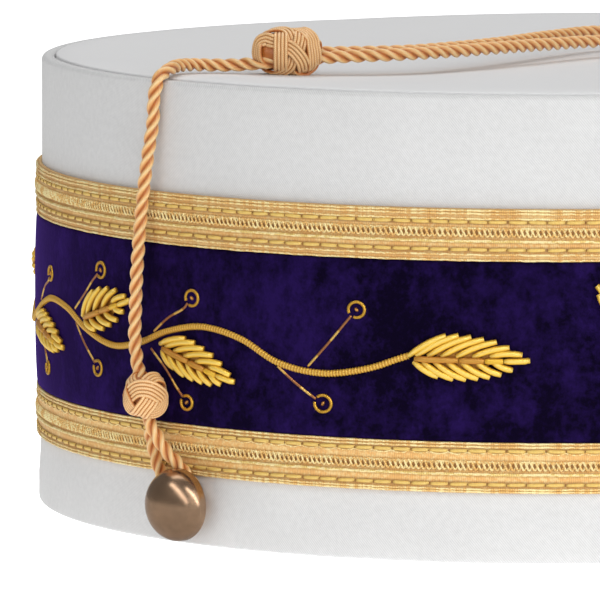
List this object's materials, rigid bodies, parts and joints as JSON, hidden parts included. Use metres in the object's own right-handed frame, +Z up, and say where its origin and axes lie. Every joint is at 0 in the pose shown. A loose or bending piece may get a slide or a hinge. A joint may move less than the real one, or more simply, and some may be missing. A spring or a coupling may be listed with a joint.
{
  "type": "masonic crown cap",
  "caption": "Round flat-topped white ceremonial cap with a purple velvet band, gold lace, a goldwork vine, domed buttons and a knotted gold cord.",
  "frame": {"origin": "centre of the flat bottom rim that the cap stands on", "axes": "+Z up through the flat top, -Y towards the front sprig, +X towards the wearer's left"},
  "size_m": [0.1952, 0.1939, 0.0926],
  "materials": {
    "white_cloth": "matt fine twill",
    "velvet": "soft pile",
    "gold_lace": "woven metal thread, half gloss",
    "gold_bullion": "bright coiled wire",
    "gold_cord": "silky twisted strands",
    "antique_brass": "satin, darkened"
  },
  "bodies": {
    "root": {"crown_side": "white_cloth", "crown_top": "white_cloth", "velvet_band": "velvet", "upper_lace": "gold_lace", "lower_lace": "gold_lace", "vine_left": "gold_bullion", "vine_right": "gold_bullion", "leaf_left_1": "gold_bullion", "leaf_left_2": "gold_bullion", "leaf_left_3": "gold_bullion", "leaf_left_4": "gold_bullion", "leaf_left_5": "gold_bullion", "leaf_left_6": "gold_bullion", "leaf_left_7": "gold_bullion", "leaf_left_8": "gold_bullion", "leaf_right_1": "gold_bullion", "leaf_right_2": "gold_bullion", "leaf_right_3": "gold_bullion", "leaf_right_4": "gold_bullion", "leaf_right_5": "gold_bullion", "leaf_right_6": "gold_bullion", "leaf_right_7": "gold_bullion", "leaf_right_8": "gold_bullion", "sprig_leaf_left": "gold_bullion", "sprig_leaf_centre": "gold_bullion", "sprig_leaf_right": "gold_bullion", "button_left": "antique_brass", "button_right": "antique_brass", "cord_left_loop": "gold_cord", "cord_rise": "gold_cord", "cord_crown_loop": "gold_cord", "knot_left": "gold_cord", "knot_top": "gold_cord"}
  },
  "joints": []
}
